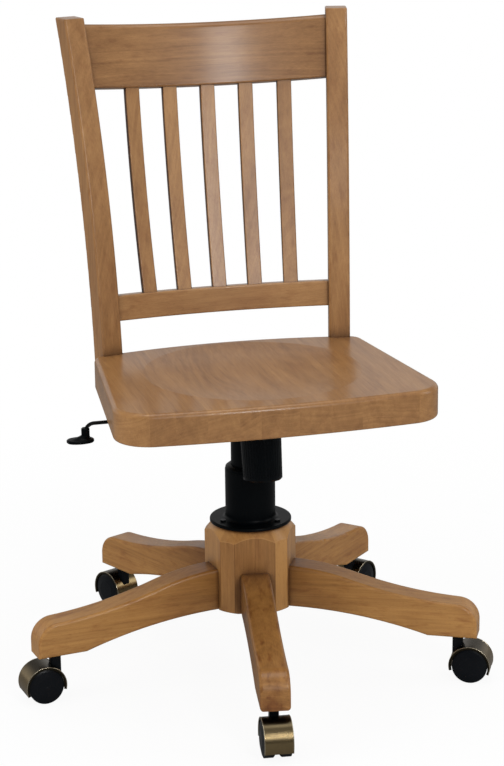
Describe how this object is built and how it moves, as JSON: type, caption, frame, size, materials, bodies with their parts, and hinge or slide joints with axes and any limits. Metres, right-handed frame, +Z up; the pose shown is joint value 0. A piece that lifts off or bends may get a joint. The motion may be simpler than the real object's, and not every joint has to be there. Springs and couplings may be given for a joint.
{
  "type": "wooden swivel office chair",
  "caption": "Armless wooden desk chair: scooped seat, bowed slatted back, gas-lift column with stepped covers, tilt mechanism with tension knob, star-shaped wooden base on hooded casters",
  "frame": {"origin": "on the floor, on the column's axis", "axes": "+Z up, +X to the right as seen from the front, +Y to the rear; the sitter faces -Y"},
  "size_m": [0.6638, 0.6658, 0.9135],
  "materials": {
    "wood": "satin varnish over a medium brown stain",
    "black_painted_steel": "semi-gloss black powder coat",
    "black_plastic": "fine matt grain",
    "bright_steel": "zinc plated",
    "dark_steel": "black oxide and thin paint",
    "guide_nylon": "plain moulded nylon",
    "caster_nylon": "smooth moulded nylon",
    "antique_brass": "darkened antique brass plating, satin"
  },
  "bodies": {
    "base": {"hub": "wood", "hub_sleeve": "dark_steel", "leg_front": "wood", "leg_right": "wood", "leg_rear_right": "wood", "leg_rear_left": "wood", "leg_left": "wood", "leg_bolts": "bright_steel", "caster_sockets": "bright_steel", "stand_tube": "dark_steel", "guide_bush": "guide_nylon", "cover_lower": "black_plastic", "cover_screws": "dark_steel", "thrust_bearing": "bright_steel"},
    "piston": {"piston_rod": "bright_steel"},
    "lift": {"pressure_tube": "dark_steel", "cover_upper": "black_plastic", "tilt_housing": "black_painted_steel", "pivot_pins": "bright_steel", "tension_spring": "dark_steel"},
    "cover_slide": {"cover_middle": "black_plastic"},
    "chair_top": {"seat": "wood", "post_right": "wood", "post_left": "wood", "slat_1": "wood", "slat_2": "wood", "slat_3": "wood", "slat_4": "wood", "slat_5": "wood", "crest_rail": "wood", "lower_rail": "wood", "post_bolts": "bright_steel", "seat_plate": "black_painted_steel", "seat_screws": "bright_steel"},
    "tension_bolt": {"tension_bolt": "bright_steel"},
    "spring_cup": {"spring_cup": "dark_steel"},
    "tension_knob": {"tension_knob": "black_plastic"},
    "lever": {"height_lever": "black_painted_steel", "lever_paddle": "black_plastic"},
    "release_pin": {"release_pin": "bright_steel"},
    "caster_front": {"caster_front_body": "caster_nylon", "caster_front_hood": "antique_brass"},
    "caster_front_wheel_a": {"caster_front_wheel_a": "caster_nylon"},
    "caster_front_wheel_b": {"caster_front_wheel_b": "caster_nylon"},
    "caster_right": {"caster_right_body": "caster_nylon", "caster_right_hood": "antique_brass"},
    "caster_right_wheel_a": {"caster_right_wheel_a": "caster_nylon"},
    "caster_right_wheel_b": {"caster_right_wheel_b": "caster_nylon"},
    "caster_rear_right": {"caster_rear_right_body": "caster_nylon", "caster_rear_right_hood": "antique_brass"},
    "caster_rear_right_wheel_a": {"caster_rear_right_wheel_a": "caster_nylon"},
    "caster_rear_right_wheel_b": {"caster_rear_right_wheel_b": "caster_nylon"},
    "caster_rear_left": {"caster_rear_left_body": "caster_nylon", "caster_rear_left_hood": "antique_brass"},
    "caster_rear_left_wheel_a": {"caster_rear_left_wheel_a": "caster_nylon"},
    "caster_rear_left_wheel_b": {"caster_rear_left_wheel_b": "caster_nylon"},
    "caster_left": {"caster_left_body": "caster_nylon", "caster_left_hood": "antique_brass"},
    "caster_left_wheel_a": {"caster_left_wheel_a": "caster_nylon"},
    "caster_left_wheel_b": {"caster_left_wheel_b": "caster_nylon"}
  },
  "joints": [
    {"name": "seat_swivel", "type": "hinge", "parent": "base", "child": "piston", "pos_m": [0, 0, 0.2], "axis": [0, 0, 1], "continuous": true},
    {"name": "seat_height", "type": "slide", "parent": "piston", "child": "lift", "axis": [0, 0, 1], "range_m": [0, 0.1]},
    {"name": "cover_telescope", "type": "slide", "parent": "base", "child": "cover_slide", "axis": [0, 0, 1], "range_m": [0, 0.05]},
    {"name": "seat_tilt", "type": "hinge", "parent": "lift", "child": "chair_top", "pos_m": [0, 0.014, 0.372], "axis": [-1, 0, 0], "range_deg": [0, 14], "stiffness_Nm_per_rad": 120, "springref_deg": -8.59},
    {"name": "tension_bolt_pull", "type": "slide", "parent": "lift", "child": "tension_bolt", "axis": [0, 0.1547, 0.988], "range_m": [0, 0.01807], "deforming": ["tension_spring"]},
    {"name": "tension_setting", "type": "slide", "parent": "tension_bolt", "child": "spring_cup", "axis": [0, 0.1547, 0.988], "range_m": [-0.003, 0.0045], "deforming": ["tension_spring"]},
    {"name": "tension_knob_turn", "type": "hinge", "parent": "spring_cup", "child": "tension_knob", "pos_m": [0, -0.0695, 0.2996], "axis": [0, 0.1547, 0.988], "range_deg": [-720, 1080]},
    {"name": "lever_lift", "type": "hinge", "parent": "lift", "child": "lever", "pos_m": [-0.041, -0.008, 0.384], "axis": [0, 1, 0], "range_deg": [0, 3.2], "stiffness_Nm_per_rad": 4, "springref_deg": -6.88},
    {"name": "release_press", "type": "slide", "parent": "lift", "child": "release_pin", "axis": [0, 0, -1], "range_m": [0, 0.0026]},
    {"name": "caster_front_swivel", "type": "hinge", "parent": "base", "child": "caster_front", "pos_m": [-0.05046, -0.29522, 0.06], "axis": [0, 0, 1], "continuous": true},
    {"name": "caster_front_wheel_a_roll", "type": "hinge", "parent": "caster_front", "child": "caster_front_wheel_a", "pos_m": [-0.05268, -0.31409, 0.025], "axis": [0.9932, -0.1167, 0], "continuous": true},
    {"name": "caster_front_wheel_b_roll", "type": "hinge", "parent": "caster_front", "child": "caster_front_wheel_b", "pos_m": [-0.05268, -0.31409, 0.025], "axis": [0.9932, -0.1167, 0], "continuous": true},
    {"name": "caster_right_swivel", "type": "hinge", "parent": "base", "child": "caster_right", "pos_m": [0.26517, -0.13922, 0.06], "axis": [0, 0, 1], "continuous": true},
    {"name": "caster_right_wheel_a_roll", "type": "hinge", "parent": "caster_right", "child": "caster_right_wheel_a", "pos_m": [0.282, -0.14805, 0.025], "axis": [0.4648, 0.8854, 0], "continuous": true},
    {"name": "caster_right_wheel_b_roll", "type": "hinge", "parent": "caster_right", "child": "caster_right_wheel_b", "pos_m": [0.282, -0.14805, 0.025], "axis": [0.4648, 0.8854, 0], "continuous": true},
    {"name": "caster_rear_right_swivel", "type": "hinge", "parent": "base", "child": "caster_rear_right", "pos_m": [0.21435, 0.20917, 0.06], "axis": [0, 0, 1], "continuous": true},
    {"name": "caster_rear_right_wheel_a_roll", "type": "hinge", "parent": "caster_rear_right", "child": "caster_rear_right_wheel_a", "pos_m": [0.22884, 0.22146, 0.025], "axis": [-0.6468, 0.7627, 0], "continuous": true},
    {"name": "caster_rear_right_wheel_b_roll", "type": "hinge", "parent": "caster_rear_right", "child": "caster_rear_right_wheel_b", "pos_m": [0.22884, 0.22146, 0.025], "axis": [-0.6468, 0.7627, 0], "continuous": true},
    {"name": "caster_rear_left_swivel", "type": "hinge", "parent": "base", "child": "caster_rear_left", "pos_m": [-0.1327, 0.2685, 0.06], "axis": [0, 0, 1], "continuous": true},
    {"name": "caster_rear_left_wheel_a_roll", "type": "hinge", "parent": "caster_rear_left", "child": "caster_rear_left_wheel_a", "pos_m": [-0.14082, 0.28568, 0.025], "axis": [-0.9041, -0.4274, 0], "continuous": true},
    {"name": "caster_rear_left_wheel_b_roll", "type": "hinge", "parent": "caster_rear_left", "child": "caster_rear_left_wheel_b", "pos_m": [-0.14082, 0.28568, 0.025], "axis": [-0.9041, -0.4274, 0], "continuous": true},
    {"name": "caster_left_swivel", "type": "hinge", "parent": "base", "child": "caster_left", "pos_m": [-0.29636, -0.04324, 0.06], "axis": [0, 0, 1], "continuous": true},
    {"name": "caster_left_wheel_a_roll", "type": "hinge", "parent": "caster_left", "child": "caster_left_wheel_a", "pos_m": [-0.31516, -0.04598, 0.025], "axis": [0.1444, -0.9895, 0], "continuous": true},
    {"name": "caster_left_wheel_b_roll", "type": "hinge", "parent": "caster_left", "child": "caster_left_wheel_b", "pos_m": [-0.31516, -0.04598, 0.025], "axis": [0.1444, -0.9895, 0], "continuous": true}
  ],
  "couplings": [
    {"joint": "cover_telescope", "follows": "seat_height", "ratio": 0.5},
    {"joint": "tension_bolt_pull", "follows": "seat_tilt", "m_per_rad": 0.073873},
    {"joint": "tension_setting", "follows": "tension_knob_turn", "m_per_rad": 0.00023873},
    {"joint": "release_press", "follows": "lever_lift", "m_per_rad": 0.0445}
  ]
}
